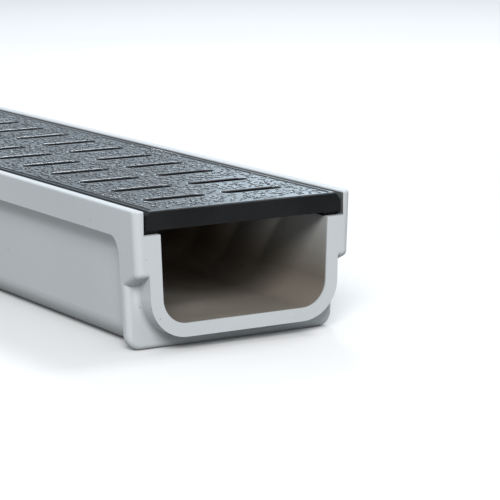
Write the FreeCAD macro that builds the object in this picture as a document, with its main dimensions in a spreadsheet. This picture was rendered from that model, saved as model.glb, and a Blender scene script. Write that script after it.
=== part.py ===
"""Channel drain: a cast trough 1 m long with two slotted gratings resting in its rebate.

Frame: +X along the channel towards the tongue end, +Y across it, +Z up.
The origin is at the bottom centre of the whole part. Millimetres.
"""
import FreeCAD, Part
import os
import Sketcher

V = FreeCAD.Vector
PI = 3.141592653589793
doc = FreeCAD.newDocument("channel_drain")

# ---------------------------------------------------------------- driving sizes
SIZES = [
    ("channel_length", 1000.0, "laying length, tongue face to socket shoulder"),
    ("channel_width", 130.0, "over the rims"),
    ("channel_height", 75.0, "base to top of the rims"),
    ("clear_width", 100.0, "water way between the seats"),
    ("floor_thickness", 15.0, "base to trough floor"),
    ("outer_draft", 0.047, "inward lean of the outer faces, mm per mm"),
    ("inner_draft", 0.036, "inward lean of the trough walls, mm per mm"),
    ("trough_radius", 14.0, "corner between trough wall and floor"),
    ("rim_width", 5.5, "rim beside the grating"),
    ("rebate_depth", 12.75, "rim top to seat"),
    ("rim_face", 15.3, "height of the plain band along the rim"),
    ("recess_depth", 6.5, "side recess, measured in from the outer face"),
    ("recess_slope", 6.5, "height of the sloped face under the rim band"),
    ("recess_radius", 8.0, "upper corners of the side recess and foot of its slope"),
    ("base_radius", 12.5, "lower edge of the recessed walls"),
    ("flange_length", 19.2, "end flange, along the channel"),
    ("flange_radius", 8.0, "lower corners of the end flanges"),
    ("tongue_depth", 14.0, "tongue stands this far proud of the lower flange"),
    ("tongue_share", 0.48, "thickness of the tongue, as a share of the wall it continues"),
    ("step_share", 0.2, "rounding of the stepped end, as a share of the thinner wall"),
    ("ear_clearance", 5.3, "rounded corner of the tongue up to the underside of the ears"),
    ("ear_fall", 6.7, "drop of the ear underside over the tongue depth"),
    ("ear_radius", 4.0, "outer front edge of the ears"),
    ("ear_corner", 3.0, "lower outer edge of the ears"),
    ("socket_play", 0.5, "clearance round the tongue of the next channel"),
    ("rim_edge", 1.0, "rounding of the rim tops"),
    ("grating_count", 2.0, "gratings laid end to end"),
    ("grating_gap", 1.0, "joint between gratings"),
    ("grating_play", 1.25, "gap beside a grating"),
    ("grating_drop", 0.5, "grating top below the rim top"),
    ("plate_thickness", 4.0, "grating plate"),
    ("rail_width", 8.5, "long edges that rest on the seats"),
    ("edge_chamfer_width", 2.7, "long top edges of the grating"),
    ("edge_chamfer_drop", 4.0, "long top edges of the grating"),
    ("skirt_thickness", 3.0, "end skirts of the grating"),
    ("skirt_height", 10.0, "end skirts, below the grating top"),
    ("skirt_edge", 1.8, "rolled top edge over the end skirts"),
    ("rib_thickness", 3.0, "ribs under the plate"),
    ("rib_height", 5.0, "ribs, below the plate"),
    ("slot_width", 8.5, "slot, across its length"),
    ("slot_length", 36.0, "slot, end to end"),
    ("slot_web", 11.0, "plain web between the two columns of slots"),
    ("slot_margin", 34.0, "end of grating to the first row of slots"),
    ("slot_pitch", 36.0, "rows of slots"),
]
sheet = doc.addObject("Spreadsheet::Sheet", "Sizes")
for row, (alias, number, note) in enumerate(SIZES, start=1):
    sheet.set(f"A{row}", alias)
    sheet.set(f"B{row}", repr(number))
    sheet.set(f"C{row}", note)
    sheet.setAlias(f"B{row}", alias)
doc.recompute()


def size(alias):
    return float(getattr(sheet, alias))


# Expressions that several features share.
S = "Sizes."
HALF = f"{S}channel_width / 2"
TOP = f"{S}channel_height"
SEAT = f"({TOP} - {S}rebate_depth)"
FRONT = f"({S}channel_length + {S}tongue_depth) / 2"
SHOULDER = f"({FRONT} - {S}channel_length)"
TOTAL_BACK = f"(0 - {FRONT})"
FLOOR = f"{S}floor_thickness"
SIDE_WALL = f"(({S}channel_width - {S}clear_width) / 2)"
TONGUE_SIDE = f"({S}tongue_share * {SIDE_WALL})"
TONGUE_BASE = f"({S}tongue_share * {FLOOR})"


def outer(z):
    """Half width of the outer faces at height z."""
    return f"({HALF} - {S}outer_draft * ({TOP} - ({z})))"


def inner(z):
    """Half width of the trough at height z."""
    return f"({S}clear_width / 2 - {S}inner_draft * ({SEAT} - ({z})))"


# ---------------------------------------------------------------- helpers
def new_body(name):
    body = doc.addObject("PartDesign::Body", name)
    body.Label = name
    return body


def plane(body, role):
    return next(f for f in body.Origin.OriginFeatures if f.Role == role)


def new_sketch(body, name, role, shift=None):
    """Sketch on one of the body's own origin planes, moved along its normal by an expression."""
    sketch = body.newObject("Sketcher::SketchObject", name)
    sketch.AttachmentSupport = [(plane(body, role), "")]
    sketch.MapMode = "FlatFace"
    if shift:
        sketch.setExpression("AttachmentOffset.Base.z", shift)
    return sketch


def bind(sketch, name, constraint, expression):
    number = sketch.addConstraint(constraint)
    sketch.renameConstraint(number, name)
    sketch.setExpression(f"Constraints.{name}", expression)


def value(expression):
    """Number that an expression of sheet cells gives now."""
    return float(sheet.evalExpression(expression))


def mirrored_outline(sketch, half):
    """Closed outline, symmetric about the vertical axis; half lists its right-hand corners."""
    right = [V(value(x), value(z), 0) for x, z in half]
    left = [V(-p.x, p.y, 0) for p in reversed(right)]
    corners = right + left
    count = len(corners)
    for i, corner in enumerate(corners):
        sketch.addGeometry(Part.LineSegment(corner, corners[(i + 1) % count]))
    for i in range(count):
        sketch.addConstraint(Sketcher.Constraint("Coincident", i, 2, (i + 1) % count, 1))
    for i, (x, z) in enumerate(half):
        bind(sketch, f"across_{i}", Sketcher.Constraint("DistanceX", -1, 1, i, 1, right[i].x), x)
        bind(sketch, f"up_{i}", Sketcher.Constraint("DistanceY", -1, 1, i, 1, right[i].y), z)
        sketch.addConstraint(Sketcher.Constraint("Symmetric", i, 1, count - 1 - i, 1, -2))


def pad(body, name, sketch, length, reverse=False):
    feature = body.newObject("PartDesign::Pad", name)
    feature.Profile = sketch
    feature.setExpression("Length", length)
    feature.Reversed = reverse
    sketch.Visibility = False
    return feature


def pocket(body, name, sketch, depth, reverse=False):
    feature = body.newObject("PartDesign::Pocket", name)
    feature.Profile = sketch
    feature.setExpression("Length", depth)
    feature.Reversed = reverse
    sketch.Visibility = False
    return feature


def loft(body, kind, name, first, second):
    feature = body.newObject(f"PartDesign::{kind}Loft", name)
    feature.Profile = first
    feature.Sections = [second]
    feature.Ruled = True
    first.Visibility = second.Visibility = False
    return feature


def edges_where(base, test):
    """Names of the edges of a feature whose two ends and middle pass a test."""
    doc.recompute()
    names = []
    for number, edge in enumerate(base.Shape.Edges, start=1):
        ends = [v.Point for v in edge.Vertexes]
        middle = edge.valueAt((edge.FirstParameter + edge.LastParameter) / 2)
        if len(ends) == 2 and test(ends[0], ends[1], middle):
            names.append(f"Edge{number}")
    return names


def fillet(body, name, radius, test):
    """Round the edges of the body's tip that pass the test."""
    base = body.Tip
    names = edges_where(base, test)
    if not names:
        raise RuntimeError(f"{name}: no edge found")
    feature = body.newObject("PartDesign::Fillet", name)
    feature.Base = (base, names)
    feature.setExpression("Radius", radius)
    feature.Refine = False
    doc.recompute()
    if not feature.isValid() or feature.Shape.isNull():
        raise RuntimeError(f"{name}: the rounding failed")
    return feature


def near(a, b, slack=0.02):
    return abs(a - b) < slack


# ---------------------------------------------------------------- channel body
def make_channel():
    body = new_body("channel_body")
    front, shoulder = value(FRONT), value(SHOULDER)
    flange = size("flange_length")
    face_foot = f"({TOP} - {S}rim_face)"
    wall_head = f"({face_foot} - {S}recess_slope)"

    def wall(z):
        """Half width of the recessed walls at height z."""
        return f"({outer(wall_head)} - {S}recess_depth - {S}inner_draft * ({wall_head} - ({z})))"

    inside = [
        (f"{HALF} - {S}rim_width", TOP),
        (f"{HALF} - {S}rim_width", SEAT),
        (f"{S}clear_width / 2", SEAT),
        (inner(FLOOR), FLOOR),
    ]

    # Trough section between the end flanges, run over the whole laying length.
    section = new_sketch(body, "trough_section", "YZ_Plane", SHOULDER)
    mirrored_outline(section, [
        (wall("0"), "0"),
        (wall(wall_head), wall_head),
        (outer(face_foot), face_foot),
        (HALF, TOP),
    ] + inside)
    pad(body, "trough", section, f"{S}channel_length")

    # The two end flanges take the full outer section.
    for end, start in (("front", f"{FRONT} - {S}flange_length"), ("back", SHOULDER)):
        outline = new_sketch(body, f"{end}_flange_section", "YZ_Plane", start)
        mirrored_outline(outline, [(outer("0"), "0"), (HALF, TOP)] + inside)
        pad(body, f"{end}_flange", outline, f"{S}flange_length")

    # Socket at the back: it reaches round the tongue of the next channel, under its ears.
    def lip_outer(z, play):
        return f"({inner(z)} + {TONGUE_SIDE} + {play})"

    def socket_outline(name, shift, head):
        play = f"{S}socket_play"
        sketch = new_sketch(body, name, "YZ_Plane", shift)
        bottom = f"({FLOOR} - {TONGUE_BASE} - {play})"
        mirrored_outline(sketch, [
            (outer("0"), "0"),
            (outer(head), head),
            (lip_outer(head, play), head),
            (lip_outer(bottom, play), bottom),
        ])
        return sketch

    ear_root = f"({FLOOR} + {S}trough_radius + {S}ear_clearance)"
    ear_foot = f"({ear_root} + {S}ear_fall)"
    socket_head = f"({ear_foot} - {S}socket_play)"
    loft(body, "Additive", "socket",
         socket_outline("socket_root", SHOULDER, socket_head),
         socket_outline("socket_rim", TOTAL_BACK, f"({ear_root} - {S}socket_play)"))

    # Tongue at the front: the flange is cut back round it, below the ears.
    def relief_outline(name, shift, head):
        sketch = new_sketch(body, name, "YZ_Plane", shift)
        bottom = f"({FLOOR} - {TONGUE_BASE})"
        mirrored_outline(sketch, [
            (f"{S}channel_width", "0 - 5"),
            (f"{S}channel_width", head),
            (lip_outer(head, "0"), head),
            (lip_outer(bottom, "0"), bottom),
        ])
        return sketch

    loft(body, "Subtractive", "tongue_relief",
         relief_outline("relief_front", FRONT, ear_foot),
         relief_outline("relief_back", f"{FRONT} - {S}tongue_depth", ear_root))

    # Rounding, from the large radii to the small.
    floor = size("floor_thickness")
    lip_bottom = floor - value(TONGUE_BASE)

    def along(a, b):
        return near(a.y, b.y) and near(a.z, b.z) and abs(a.x - b.x) > 1

    def between_flanges(m):
        return shoulder + flange < m.x < front - flange

    fillet(body, "trough_corners", f"{S}trough_radius",
           lambda a, b, m: along(a, b) and near(m.z, floor) and near(abs(m.y), value(inner(FLOOR))))
    fillet(body, "base_edges", f"{S}base_radius",
           lambda a, b, m: along(a, b) and near(m.z, 0) and between_flanges(m))
    fillet(body, "tongue_corners", f"{S}trough_radius + {TONGUE_BASE}",
           lambda a, b, m: along(a, b) and near(m.z, lip_bottom) and m.x > 0)
    fillet(body, "socket_corners", f"{S}trough_radius + {TONGUE_BASE} + {S}socket_play",
           lambda a, b, m: along(a, b) and m.x < 0
           and near(m.z, lip_bottom - size("socket_play")))
    fillet(body, "flange_corners", f"{S}flange_radius",
           lambda a, b, m: along(a, b) and near(m.z, 0) and abs(a.x - b.x) < 3 * flange)

    # Side recesses: rounded upper corners and a soft foot to the sloped face.
    head_z, foot_z = value(wall_head), value(face_foot)
    ends = (shoulder + flange, front - flange)
    def is_corner(a, b, m):
        return (any(near(m.x, x) for x in ends) and near(a.x, b.x)
                and head_z < m.z < foot_z and near(abs(a.z - b.z), foot_z - head_z))

    fillet(body, "recess_corners", f"{S}recess_radius",
           lambda a, b, m: is_corner(a, b, m)
           or (along(a, b) and near(m.z, head_z) and between_flanges(m)))

    # The stepped end: foot of the tongue and edge of the lower flange, then the ears and rims.
    step = front - size("tongue_depth")
    ear_z = value(ear_root)
    tongue_half = value(lip_outer(ear_foot, "0")) + 0.5

    def in_plane(a, b, m, x):
        return near(a.x, x) and near(b.x, x) and near(m.x, x)

    fillet(body, "step_edges", f"{S}step_share * min({SIDE_WALL}; {FLOOR})",
           lambda a, b, m: in_plane(a, b, m, step) and m.z < ear_z - 1)
    fillet(body, "ear_edges", f"{S}ear_radius",
           lambda a, b, m: in_plane(a, b, m, front) and m.z > ear_z
           and min(abs(a.y), abs(b.y)) > tongue_half and abs(a.z - b.z) > size("rebate_depth") + 1)
    fillet(body, "ear_corners", f"{S}ear_corner",
           lambda a, b, m: ear_z < m.z < value(ear_foot) and m.x > step and abs(a.x - b.x) > 5
           and abs(m.y) > tongue_half)
    fillet(body, "rim_tops", f"{S}rim_edge",
           lambda a, b, m: along(a, b) and near(m.z, value(TOP)))
    return body


# ---------------------------------------------------------------- gratings
def slot_outline(sketch, width, length, centre_x, centre_y):
    """Two round-ended slots, mirrored about the X axis of the sketch."""
    half_width, reach = value(width) / 2, (value(length) - value(width)) / 2
    x, y = value(centre_x), value(centre_y)
    for side in (1, -1):
        first = sketch.GeometryCount
        low, high = side * y - reach, side * y + reach
        sketch.addGeometry(Part.LineSegment(V(x + half_width, low, 0), V(x + half_width, high, 0)))
        sketch.addGeometry(Part.ArcOfCircle(
            Part.Circle(V(x, high, 0), V(0, 0, 1), half_width), 0, PI))
        sketch.addGeometry(Part.LineSegment(V(x - half_width, high, 0), V(x - half_width, low, 0)))
        sketch.addGeometry(Part.ArcOfCircle(
            Part.Circle(V(x, low, 0), V(0, 0, 1), half_width), PI, 2 * PI))
        for line, arc in ((0, 1), (2, 3)):
            sketch.addConstraint(Sketcher.Constraint("Tangent", first + line, 2, first + arc, 1))
            sketch.addConstraint(Sketcher.Constraint("Tangent", first + arc, 2, first + (line + 2) % 4, 1))
        sketch.addConstraint(Sketcher.Constraint("Vertical", first))
        tag = "right" if side > 0 else "left"
        bind(sketch, f"radius_{tag}",
             Sketcher.Constraint("Radius", first + 1, half_width), f"({width}) / 2")
        for arc, name, sign in ((1, "high", "+"), (3, "low", "-")):
            place = f"{'' if side > 0 else '0 - '}({centre_y}) {sign} (({length}) - ({width})) / 2"
            bind(sketch, f"{name}_{tag}",
                 Sketcher.Constraint("DistanceY", -1, 1, first + arc, 3, side * y), place)
        bind(sketch, f"row_{tag}",
             Sketcher.Constraint("DistanceX", -1, 1, first + 1, 3, x), centre_x)


def make_grating(name, back_end):
    """One grating; back_end is the expression for the place of its back end along X."""
    body = new_body(name)
    length = f"({S}channel_length / {S}grating_count - {S}grating_gap)"
    top = f"({TOP} - {S}grating_drop)"
    underside = f"({top} - {S}plate_thickness)"
    half = f"({HALF} - {S}rim_width - {S}grating_play)"
    rail_inside = f"({half} - {S}rail_width)"

    section = new_sketch(body, f"{name}_section", "YZ_Plane", back_end)
    mirrored_outline(section, [
        (rail_inside, underside),
        (rail_inside, SEAT),
        (half, SEAT),
        (half, f"{top} - {S}edge_chamfer_drop"),
        (f"{half} - {S}edge_chamfer_width", top),
    ])
    pad(body, f"{name}_plate", section, length)

    def bar(part, x, thickness, low, high, reach):
        """Wall across the grating, from x on, thickness along X."""
        sketch = new_sketch(body, f"{name}_{part}_outline", "YZ_Plane", x)
        mirrored_outline(sketch, [(reach, low), (reach, high)])
        return pad(body, f"{name}_{part}", sketch, thickness)

    skirt_low = f"({top} - {S}skirt_height)"
    overlap = f"{S}rail_width / 2"
    far_skirt = f"{back_end} + {length} - {S}skirt_thickness"
    for part, x in (("back_skirt", back_end), ("front_skirt", far_skirt)):
        bar(part, x, f"{S}skirt_thickness", skirt_low, underside, f"{rail_inside} + {overlap}")
        relief = new_sketch(body, f"{name}_{part}_relief_outline", "YZ_Plane", x)
        mirrored_outline(relief, [(f"{half} + 1", f"{SEAT} - 1"), (f"{half} + 1", skirt_low)])
        pocket(body, f"{name}_{part}_relief", relief, f"{S}skirt_thickness", reverse=True)

    # Ribs under the plate: one along the middle, one across between each two rows of slots.
    rib_low = f"({underside} - {S}rib_height)"
    spine = new_sketch(body, f"{name}_spine_outline", "YZ_Plane", back_end)
    mirrored_outline(spine, [(f"{S}rib_thickness / 2", rib_low), (f"{S}rib_thickness / 2", underside)])
    pad(body, f"{name}_spine", spine, length)
    rows = round((value(length) - 2 * size("slot_margin")) / size("slot_pitch")) + 1
    first_rib = f"{back_end} + {S}slot_margin - ({S}slot_pitch + {S}rib_thickness) / 2"
    rib = bar("rib", first_rib, f"{S}rib_thickness", rib_low, underside, f"{rail_inside} + {overlap}")
    along_x = (plane(body, "X_Axis"), [""])

    def repeat(part, originals, count):
        pattern = body.newObject("PartDesign::LinearPattern", f"{name}_{part}")
        pattern.Originals = originals
        pattern.Direction = along_x
        pattern.Mode = "Spacing"
        pattern.setExpression("Offset", f"{S}slot_pitch")
        pattern.Occurrences = count
        body.Tip = pattern
        return pattern

    repeat("ribs", [rib], rows + 1)

    # Slots in two columns.
    centre = f"({S}slot_web + {S}slot_length) / 2"
    row = f"{back_end} + {S}slot_margin"
    slot = new_sketch(body, f"{name}_slot_outline", "XY_Plane", top)
    slot_outline(slot, f"{S}slot_width", f"{S}slot_length", row, centre)
    cut = pocket(body, f"{name}_slot", slot, f"{S}plate_thickness + 1")
    repeat("slots", [cut], rows)

    # Rolled top edge over each end skirt.
    high = value(top)
    fillet(body, f"{name}_rolled_ends", f"{S}skirt_edge",
           lambda a, b, m: near(a.z, high) and near(b.z, high) and near(a.x, b.x)
           and abs(a.y - b.y) > value(half))
    return body


# ---------------------------------------------------------------- build and write
def write_parts():
    doc.recompute()
    failed = [o.Name for o in doc.Objects if {"Invalid", "Error"} & set(o.State)]
    if failed:
        raise RuntimeError(f"failed objects: {failed}")
    os.makedirs("parts", exist_ok=True)
    for body in doc.Objects:
        if body.TypeId != "PartDesign::Body":
            continue
        shape = body.Shape
        if shape.isNull() or not shape.isValid() or len(shape.Solids) != 1:
            raise RuntimeError(f"{body.Label}: not one valid solid")
        shape.exportStep(f"parts/{body.Label}.step")
        print(f"{body.Label}: volume {shape.Volume:.0f} mm3, {len(shape.Faces)} faces")


make_channel()
grating_step = f"{S}channel_length / {S}grating_count"
for index, grating_name in enumerate(("grating_back", "grating_front")):
    make_grating(grating_name, f"({SHOULDER} + {index} * {grating_step} + {S}grating_gap / 2)")
write_parts()
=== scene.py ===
"""Looks of the channel drain: a cast grey trough with two black slotted gratings.

Metres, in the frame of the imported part: +X along the channel towards the tongue end, +Z up.
"""

import math
import random

import bmesh
import bpy
from mathutils import Matrix, Vector


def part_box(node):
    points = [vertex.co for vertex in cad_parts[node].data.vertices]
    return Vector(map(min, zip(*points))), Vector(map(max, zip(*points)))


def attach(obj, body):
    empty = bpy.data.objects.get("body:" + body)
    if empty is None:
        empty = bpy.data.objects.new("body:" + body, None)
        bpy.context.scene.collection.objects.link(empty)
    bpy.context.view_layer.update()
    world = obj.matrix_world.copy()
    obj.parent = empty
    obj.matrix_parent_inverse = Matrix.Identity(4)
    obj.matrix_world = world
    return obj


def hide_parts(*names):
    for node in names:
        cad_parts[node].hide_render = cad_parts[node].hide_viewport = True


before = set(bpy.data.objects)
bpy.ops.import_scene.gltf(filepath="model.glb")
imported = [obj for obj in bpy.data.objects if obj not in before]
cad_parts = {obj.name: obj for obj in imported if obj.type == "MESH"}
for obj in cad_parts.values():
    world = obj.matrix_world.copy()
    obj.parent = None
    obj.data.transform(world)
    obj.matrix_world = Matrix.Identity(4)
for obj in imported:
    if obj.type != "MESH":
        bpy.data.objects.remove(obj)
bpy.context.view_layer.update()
scene = bpy.context.scene
scene.view_settings.view_transform = "Standard"
MM = 0.001


# ---------------------------------------------------------------- node helpers
MIX_COLOUR_A = 6
MIX_COLOUR_B = 7
MIX_COLOUR_OUT = 2


class Finish:
    """A material under construction, with its Principled shader and short ways to add nodes."""

    def __init__(self, name, roughness, specular):
        self.material = bpy.data.materials.new(name)
        self.material.use_nodes = True
        self.tree = self.material.node_tree
        self.shader = self.tree.nodes["Principled BSDF"]
        self.shader.inputs["Roughness"].default_value = roughness
        self.shader.inputs["Specular IOR Level"].default_value = specular
        self.place = self.tree.nodes.new("ShaderNodeTexCoord").outputs["Object"]

    def node(self, kind, **settings):
        made = self.tree.nodes.new(kind)
        for name, setting in settings.items():
            setattr(made, name, setting)
        return made

    def link(self, source, socket):
        self.tree.links.new(source, socket)

    def stretched(self, scale):
        """Object coordinates, scaled by three factors."""
        mapping = self.node("ShaderNodeMapping")
        mapping.inputs["Scale"].default_value = scale
        self.link(self.place, mapping.inputs["Vector"])
        return mapping.outputs["Vector"]

    def noise(self, scale, detail=3.0, place=None):
        made = self.node("ShaderNodeTexNoise")
        made.inputs["Scale"].default_value = scale
        made.inputs["Detail"].default_value = detail
        self.link(place or self.place, made.inputs["Vector"])
        return made.outputs["Fac"]

    def cells(self, scale):
        """Distance to the nearest of scattered points, in cell widths."""
        made = self.node("ShaderNodeTexVoronoi")
        made.inputs["Scale"].default_value = scale
        self.link(self.place, made.inputs["Vector"])
        return made.outputs["Distance"]

    def spread(self, source, low, high, out_low=0.0, out_high=1.0):
        """source from low..high to out_low..out_high, clamped."""
        made = self.node("ShaderNodeMapRange", interpolation_type="SMOOTHSTEP")
        for name, number in (("From Min", low), ("From Max", high),
                             ("To Min", out_low), ("To Max", out_high)):
            made.inputs[name].default_value = number
        self.link(source, made.inputs["Value"])
        return made.outputs["Result"]

    def calc(self, operation, first, second):
        """A Math node; first and second are numbers or sockets."""
        made = self.node("ShaderNodeMath", operation=operation)
        for socket, item in zip(made.inputs, (first, second)):
            if isinstance(item, (int, float)):
                socket.default_value = item
            else:
                self.link(item, socket)
        return made.outputs["Value"]

    def blend(self, share, first, second):
        """Colour mix; first and second are colours or sockets."""
        made = self.node("ShaderNodeMix", data_type="RGBA")
        self.link(share, made.inputs["Factor"])
        for socket, item in ((made.inputs[MIX_COLOUR_A], first), (made.inputs[MIX_COLOUR_B], second)):
            if isinstance(item, tuple):
                socket.default_value = (*item, 1.0)
            else:
                self.link(item, socket)
        return made.outputs[MIX_COLOUR_OUT]

    def bump(self, height, depth, under=None):
        """Normal from a height of 0 to 1 that is depth metres tall."""
        made = self.node("ShaderNodeBump")
        made.inputs["Distance"].default_value = depth
        self.link(height, made.inputs["Height"])
        if under:
            self.link(under, made.inputs["Normal"])
        return made.outputs["Normal"]

    def finish(self, colour, normal, roughness):
        self.link(colour, self.shader.inputs["Base Color"])
        self.link(normal, self.shader.inputs["Normal"])
        self.link(roughness, self.shader.inputs["Roughness"])
        return self.material


# ---------------------------------------------------------------- finishes
TROUGH_MIDDLE = 7 * MM
TROUGH_HALF_LENGTH = 500 * MM
TROUGH_HALF_WIDTH = 50 * MM
TROUGH_FLOOR = 15 * MM
REBATE_HALF_WIDTH = 59.75 * MM
SEAT_HEIGHT = 62 * MM
RIM_HEIGHT = 75 * MM
STAIN_WAVE = 22 * MM


def cast_grey():
    """Fine cast grey: cloudy tone, sand grain, scattered pin holes, a stain where water runs, stain
    with painted shade deep inside the trough, and painted shade in the gap beside the gratings.
    """
    made = Finish("cast_grey", roughness=0.62, specular=0.18)
    clouds = made.noise(9.0, detail=4.0)
    tone = made.blend(made.spread(clouds, 0.3, 0.7), (0.545, 0.575, 0.590), (0.590, 0.615, 0.630))
    grain = made.noise(1500.0, detail=2.0)
    tone = made.blend(made.spread(grain, 0.55, 0.80, 0.0, 0.22), tone, (0.47, 0.49, 0.50))

    holes = made.cells(150.0)
    rare = made.noise(60.0, detail=1.0)
    reach = made.spread(rare, 0.50, 0.66, 0.0, 0.085)
    pit = made.calc("LESS_THAN", holes, reach)
    tone = made.blend(made.calc("MULTIPLY", pit, 0.45), tone, (0.30, 0.31, 0.31))

    split = made.node("ShaderNodeSeparateXYZ")
    made.link(made.place, split.inputs["Vector"])
    height = split.outputs["Z"]
    aside = made.calc("ABSOLUTE", split.outputs["Y"], 0.0)
    ahead = made.calc("SUBTRACT", split.outputs["X"], TROUGH_MIDDLE)
    ahead = made.calc("ABSOLUTE", ahead, 0.0)
    inside = made.spread(aside, TROUGH_HALF_WIDTH, TROUGH_HALF_WIDTH + 0.5 * MM, 1.0, 0.0)
    short_of_end = made.spread(ahead, TROUGH_HALF_LENGTH - 1.5 * MM, TROUGH_HALF_LENGTH - 0.2 * MM,
                               1.0, 0.0)
    inside = made.calc("MULTIPLY", inside, short_of_end)
    above_floor = made.spread(height, TROUGH_FLOOR - 1.0 * MM, TROUGH_FLOOR - 0.2 * MM)
    inside = made.calc("MULTIPLY", inside, above_floor)

    wavy = made.noise(24.0, place=made.stretched((0.25, 1.0, 1.0)))
    line = made.calc("ADD", height, made.calc("MULTIPLY", wavy, STAIN_WAVE))
    wet = made.calc("MULTIPLY", made.spread(line, 36 * MM, 98 * MM, 1.0, 0.0), inside)
    tone = made.blend(made.calc("MULTIPLY", wet, 0.85), tone, (0.140, 0.108, 0.070))
    # Painted shade together with stain: the trough darkens towards its middle, away from the open ends,
    # standing in for the light that fails to reach deep inside.
    depth_stain_and_shade = made.calc("MULTIPLY", made.spread(ahead, 360 * MM, 485 * MM, 0.92, 0.0), inside)
    tone = made.blend(depth_stain_and_shade, tone, (0.055, 0.034, 0.018))

    # Painted shade: the rebate wall in the narrow gap between rim and grating is darkened from the seat
    # up to just below the rim.
    gap_shade = made.spread(aside, REBATE_HALF_WIDTH - 0.20 * MM, REBATE_HALF_WIDTH + 0.10 * MM, 1.0, 0.0)
    above_seat = made.spread(height, SEAT_HEIGHT, SEAT_HEIGHT + 1.0 * MM)
    below_rim = made.spread(height, RIM_HEIGHT - 1.2 * MM, RIM_HEIGHT - 0.4 * MM, 0.85, 0.0)
    gap_shade = made.calc("MULTIPLY", gap_shade, made.calc("MULTIPLY", above_seat, below_rim))
    tone = made.blend(gap_shade, tone, (0.035, 0.035, 0.033))

    skin = made.bump(clouds, 0.6 * MM)
    skin = made.bump(grain, 0.06 * MM, skin)
    skin = made.bump(made.calc("SUBTRACT", 1.0, pit), 0.25 * MM, skin)
    rough = made.spread(clouds, 0.3, 0.7, 0.56, 0.68)
    return made.finish(tone, skin, rough)


def black_plastic(name, specular, smoothest, roughest, dark, light):
    """Black half-gloss plastic with a fine moulded grain, between a dark and a light tone."""
    made = Finish(name, roughness=roughest, specular=specular)
    clouds = made.noise(22.0, detail=4.0)
    tone = made.blend(made.spread(clouds, 0.35, 0.70), dark, light)
    skin = made.bump(made.noise(900.0, detail=2.0), 0.05 * MM)
    skin = made.bump(made.noise(160.0, detail=2.0), 0.12 * MM, skin)
    return made.finish(tone, skin, made.spread(clouds, 0.3, 0.7, smoothest, roughest))


GREY = cast_grey()
BLACK = black_plastic("black_plate", specular=0.09, smoothest=0.15, roughest=0.26,
                      dark=(0.006, 0.0065, 0.007), light=(0.012, 0.0125, 0.013))
STUD_BLACK = black_plastic("black_studs", specular=0.45, smoothest=0.12, roughest=0.22,
                           dark=(0.008, 0.009, 0.010), light=(0.020, 0.021, 0.022))
EDGE_BLACK = black_plastic("black_edges", specular=0.90, smoothest=0.13, roughest=0.20,
                           dark=(0.012, 0.0125, 0.013), light=(0.024, 0.025, 0.026))
for name, finish in (("channel_body", GREY), ("grating_back", BLACK), ("grating_front", BLACK)):
    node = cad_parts[name]
    node.data.materials.clear()
    node.data.materials.append(finish)


# ---------------------------------------------------------------- plates, grip and trim of the gratings
SLOT_PITCH = 36 * MM
SLOT_MARGIN = 34 * MM
SLOT_REACH = 13.75 * MM
SLOT_CENTRE = 23.5 * MM
SLOT_HALF_WIDTH = 4.25 * MM
MOUTH_RADIUS = 0.6 * MM
FLAT_ANGLE = math.radians(0.5)
UPRIGHT_ANGLE = math.radians(80)
SHARP_ANGLE = math.radians(35)
LEVEL_NORMAL = 0.9995
GRIP_HALF_WIDTH = 51.6 * MM
BEAD_ASIDE = 53.2 * MM
BEAD_RADIUS = 0.45 * MM
GRIP_END_MARGIN = 4.2 * MM
GRIP_PITCH = 3.2 * MM
GRIP_ROW_STEP = 0.87
GRIP_JOG = 0.30 * GRIP_PITCH
GRIP_GAPS = 0.32
GRIP_HEIGHT = 0.36 * MM
GRIP_SINK = 0.06 * MM
GRIP_RADII = (0.75 * MM, 1.6 * MM)
GRIP_STRETCHES = (0.85, 1.2)
GRIP_SHARES = (0.65, 1.0)
GRIP_CLEARANCE = 0.2 * MM


def as_mesh(name, form):
    mesh = bpy.data.meshes.new(name)
    form.to_mesh(mesh)
    form.free()
    return mesh


def black_piece(name, mesh, *finishes):
    """Make a mesh a piece of the gratings."""
    for finish in finishes:
        mesh.materials.append(finish)
    piece = bpy.data.objects.new(name, mesh)
    scene.collection.objects.link(piece)
    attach(piece, "root")
    return piece


def smooth_trim(name, form, finish):
    """Make a bmesh of small closed forms a smooth piece of the gratings."""
    bmesh.ops.recalc_face_normals(form, faces=form.faces)
    for face in form.faces:
        face.smooth = True
    black_piece(name, as_mesh(name, form), finish)


def grip_stud():
    """One low closed stud of unit radius, its flat foot at z = 0 and its crown at z = 1."""
    stud = bmesh.new()
    bmesh.ops.create_cone(stud, cap_ends=True, segments=8, radius1=1.0, radius2=0.84, depth=0.58)
    bmesh.ops.translate(stud, verts=stud.verts, vec=(0, 0, 0.29))
    crown = next(face for face in stud.faces if face.normal.z > 0.9)
    bmesh.ops.inset_region(stud, faces=[crown], thickness=0.34)
    bmesh.ops.translate(stud, verts=crown.verts, vec=(0, 0, 0.34))
    bmesh.ops.poke(stud, faces=[crown], offset=0.08)
    return as_mesh("grip_stud", stud)


def slot_rows(length):
    """Rows of slots on a grating of this length."""
    return round((length - 2 * SLOT_MARGIN) / SLOT_PITCH) + 1


def clear_of_slots(x, y, radius, rows):
    """True where a stud at x, y, measured from the grating's end, misses every slot."""
    row = min(max(round((x - SLOT_MARGIN) / SLOT_PITCH), 0), rows - 1)
    along = abs(x - SLOT_MARGIN - row * SLOT_PITCH)
    across = max(abs(abs(y) - SLOT_CENTRE) - SLOT_REACH, 0.0)
    return math.hypot(along, across) > SLOT_HALF_WIDTH + MOUTH_RADIUS + GRIP_CLEARANCE + radius


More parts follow.
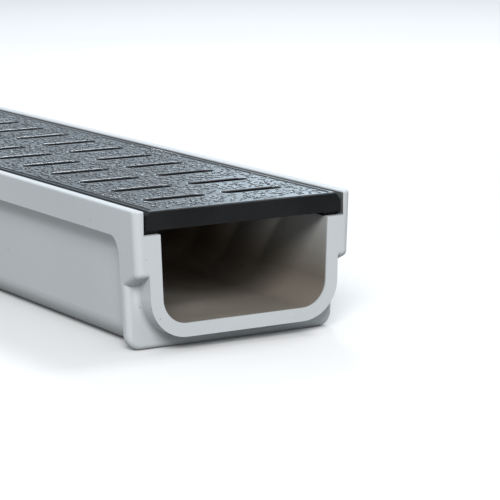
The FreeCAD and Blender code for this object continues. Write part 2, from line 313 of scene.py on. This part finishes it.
def grip(name, node, seed):
    """Low studs scattered over the top of one grating, between its slots."""
    low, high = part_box(node)
    length = high.x - low.x
    rows = slot_rows(length)
    chance = random.Random(seed)
    stud = grip_stud()
    field = bmesh.new()
    columns = int((length - 2 * GRIP_END_MARGIN) / GRIP_PITCH)
    lines = int(2 * GRIP_HALF_WIDTH / (GRIP_PITCH * GRIP_ROW_STEP))
    for line in range(lines + 1):
        for column in range(columns + 1):
            radius = chance.uniform(*GRIP_RADII)
            stretch = chance.uniform(*GRIP_STRETCHES)
            turn = chance.uniform(0.0, math.pi)
            height = chance.uniform(*GRIP_SHARES) * GRIP_HEIGHT
            x = GRIP_END_MARGIN + (column + 0.5 * (line % 2)) * GRIP_PITCH
            x += chance.uniform(-GRIP_JOG, GRIP_JOG)
            y = line * GRIP_PITCH * GRIP_ROW_STEP - GRIP_HALF_WIDTH
            y += chance.uniform(-GRIP_JOG, GRIP_JOG)
            if not GRIP_END_MARGIN <= x <= length - GRIP_END_MARGIN or abs(y) > GRIP_HALF_WIDTH:
                continue
            if chance.random() < GRIP_GAPS or not clear_of_slots(x, y, radius * stretch, rows):
                continue
            place = (Matrix.Translation((low.x + x, y, high.z - GRIP_SINK))
                     @ Matrix.Rotation(turn, 4, "Z")
                     @ Matrix.Diagonal((radius * stretch, radius / stretch, height + GRIP_SINK, 1)))
            stud.transform(place)
            field.from_mesh(stud)
            stud.transform(place.inverted())
    smooth_trim(name, field, STUD_BLACK)


def moulded_plate(name, node_name):
    """The grating again, with its slot mouths rounded as they come from the mould."""
    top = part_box(node_name)[1].z
    plate = bmesh.new()
    plate.from_mesh(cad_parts[node_name].data)
    bmesh.ops.remove_doubles(plate, verts=plate.verts, dist=0.001 * MM)
    bmesh.ops.dissolve_limit(plate, angle_limit=FLAT_ANGLE, verts=plate.verts, edges=plate.edges)
    mouths = [edge for edge in plate.edges
              if all(abs(vert.co.z - top) < 0.01 * MM for vert in edge.verts)
              and edge.calc_face_angle(0.0) > UPRIGHT_ANGLE]
    rounding = bmesh.ops.bevel(plate, geom=mouths, offset=MOUTH_RADIUS, offset_type="OFFSET",
                               segments=4, profile=0.5, affect="EDGES", material=-1,
                               loop_slide=False, clamp_overlap=False)
    for face in rounding["faces"]:
        face.material_index = 1
    for face in plate.faces:
        face.smooth = abs(face.normal.z) < LEVEL_NORMAL
    for edge in plate.edges:
        edge.smooth = edge.calc_face_angle(0.0) < SHARP_ANGLE
    piece = black_piece(name, as_mesh(name, plate), BLACK, EDGE_BLACK)
    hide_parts(node_name)


def border_beads(name, node):
    """Fine raised line along each long side, between the studs and the plain border."""
    low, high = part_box(node)
    beads = bmesh.new()
    for side in (1, -1):
        place = (Matrix.Translation(((low.x + high.x) / 2, side * BEAD_ASIDE, high.z))
                 @ Matrix.Rotation(math.pi / 2, 4, "Y"))
        bmesh.ops.create_cone(beads, cap_ends=True, segments=12, radius1=BEAD_RADIUS,
                              radius2=BEAD_RADIUS, depth=high.x - low.x - 2 * GRIP_END_MARGIN,
                              matrix=place)
    smooth_trim(name, beads, EDGE_BLACK)


for side, seed in (("back", 11), ("front", 12)):
    grip(f"grating_{side}_grip", f"grating_{side}", seed)
    moulded_plate(f"grating_{side}_moulding", f"grating_{side}")
    border_beads(f"grating_{side}_border_beads", f"grating_{side}")


# ---------------------------------------------------------------- floor, lamps and camera
def plain_floor():
    """White where it shows, darker for the light that it throws back on the object."""
    slab = bmesh.new()
    bmesh.ops.create_grid(slab, x_segments=1, y_segments=1, size=8.0)
    mesh = bpy.data.meshes.new("floor")
    slab.to_mesh(mesh)
    slab.free()
    made = Finish("floor_white", roughness=0.9, specular=0.0)
    path = made.node("ShaderNodeLightPath")
    seen = made.calc("MAXIMUM", path.outputs["Is Camera Ray"], path.outputs["Is Glossy Ray"])
    seen = made.calc("MAXIMUM", seen, path.outputs["Is Transmission Ray"])
    tone = made.blend(seen, (0.22, 0.22, 0.21), (0.80, 0.80, 0.80))
    made.link(tone, made.shader.inputs["Base Color"])
    mesh.materials.append(made.material)
    ground = bpy.data.objects.new("floor", mesh)
    scene.collection.objects.link(ground)


def room():
    """White behind everything that shows; a softer, cooler light on the object."""
    world = bpy.data.worlds.new("room")
    scene.world = world
    world.use_nodes = True
    tree = world.node_tree
    back = tree.nodes["Background"]
    back.inputs["Color"].default_value = (0.90, 0.95, 1.0, 1)
    back.inputs["Strength"].default_value = 0.62
    white = tree.nodes.new("ShaderNodeBackground")
    white.inputs["Color"].default_value = (0.76, 0.89, 1.0, 1)
    path = tree.nodes.new("ShaderNodeLightPath")
    seen = path.outputs["Is Camera Ray"]
    for kind in ("Is Glossy Ray", "Is Transmission Ray"):
        either = tree.nodes.new("ShaderNodeMath")
        either.operation = "MAXIMUM"
        tree.links.new(seen, either.inputs[0])
        tree.links.new(path.outputs[kind], either.inputs[1])
        seen = either.outputs["Value"]
    mix = tree.nodes.new("ShaderNodeMixShader")
    tree.links.new(seen, mix.inputs["Fac"])
    tree.links.new(back.outputs["Background"], mix.inputs[1])
    tree.links.new(white.outputs["Background"], mix.inputs[2])
    tree.links.new(mix.outputs["Shader"], tree.nodes["World Output"].inputs["Surface"])


def soft_lamp(name, place, target, size, power, colour=(1, 1, 1)):
    light = bpy.data.lights.new(name, "AREA")
    light.shape = "DISK"
    light.size = size
    light.energy = power
    light.color = colour
    lamp = bpy.data.objects.new(name, light)
    scene.collection.objects.link(lamp)
    lamp.location = place
    lamp.rotation_euler = (Vector(target) - Vector(place)).to_track_quat("-Z", "Y").to_euler()


def camera_at(place, yaw, pitch, roll, lens):
    """Camera that looks along -X, turned by yaw, tipped down by pitch and rolled, in degrees."""
    yaw, pitch, roll = (math.radians(a) for a in (yaw, pitch, roll))
    forward = Vector((-math.cos(yaw) * math.cos(pitch), math.sin(yaw) * math.cos(pitch),
                      -math.sin(pitch)))
    level = forward.cross(Vector((0, 0, 1))).normalized()
    upright = level.cross(forward)
    right = level * math.cos(roll) + upright * math.sin(roll)
    up = upright * math.cos(roll) - level * math.sin(roll)
    data = bpy.data.cameras.new("camera")
    data.lens = lens
    data.sensor_width = 36.0
    data.clip_start = 0.01
    camera = bpy.data.objects.new("camera", data)
    scene.collection.objects.link(camera)
    camera.matrix_world = (Matrix.Translation(place)
                           @ Matrix((right, up, -forward)).transposed().to_4x4())
    scene.camera = camera


plain_floor()
room()
soft_lamp("lamp_front", (2.18, -1.06, 1.45), (0.4, 0.0, 0.0), 1.0, 49.0)
soft_lamp("lamp_behind", (-1.3, 1.0, 1.5), (0.35, 0.0, 0.0), 0.4, 12.0, (0.85, 0.93, 1.0))
soft_lamp("lamp_low", (-0.71, 0.93, 0.45), (0.5, 0.05, 0.07), 0.5, 1.3, (0.72, 0.88, 1.0))
soft_lamp("lamp_above", (0.2, 1.4, 2.2), (0.3, 0.0, 0.0), 0.9, 17.0)
camera_at((1.5531, -0.6194, 0.2731), yaw=30.728, pitch=10.427, roll=-0.411, lens=172.66)
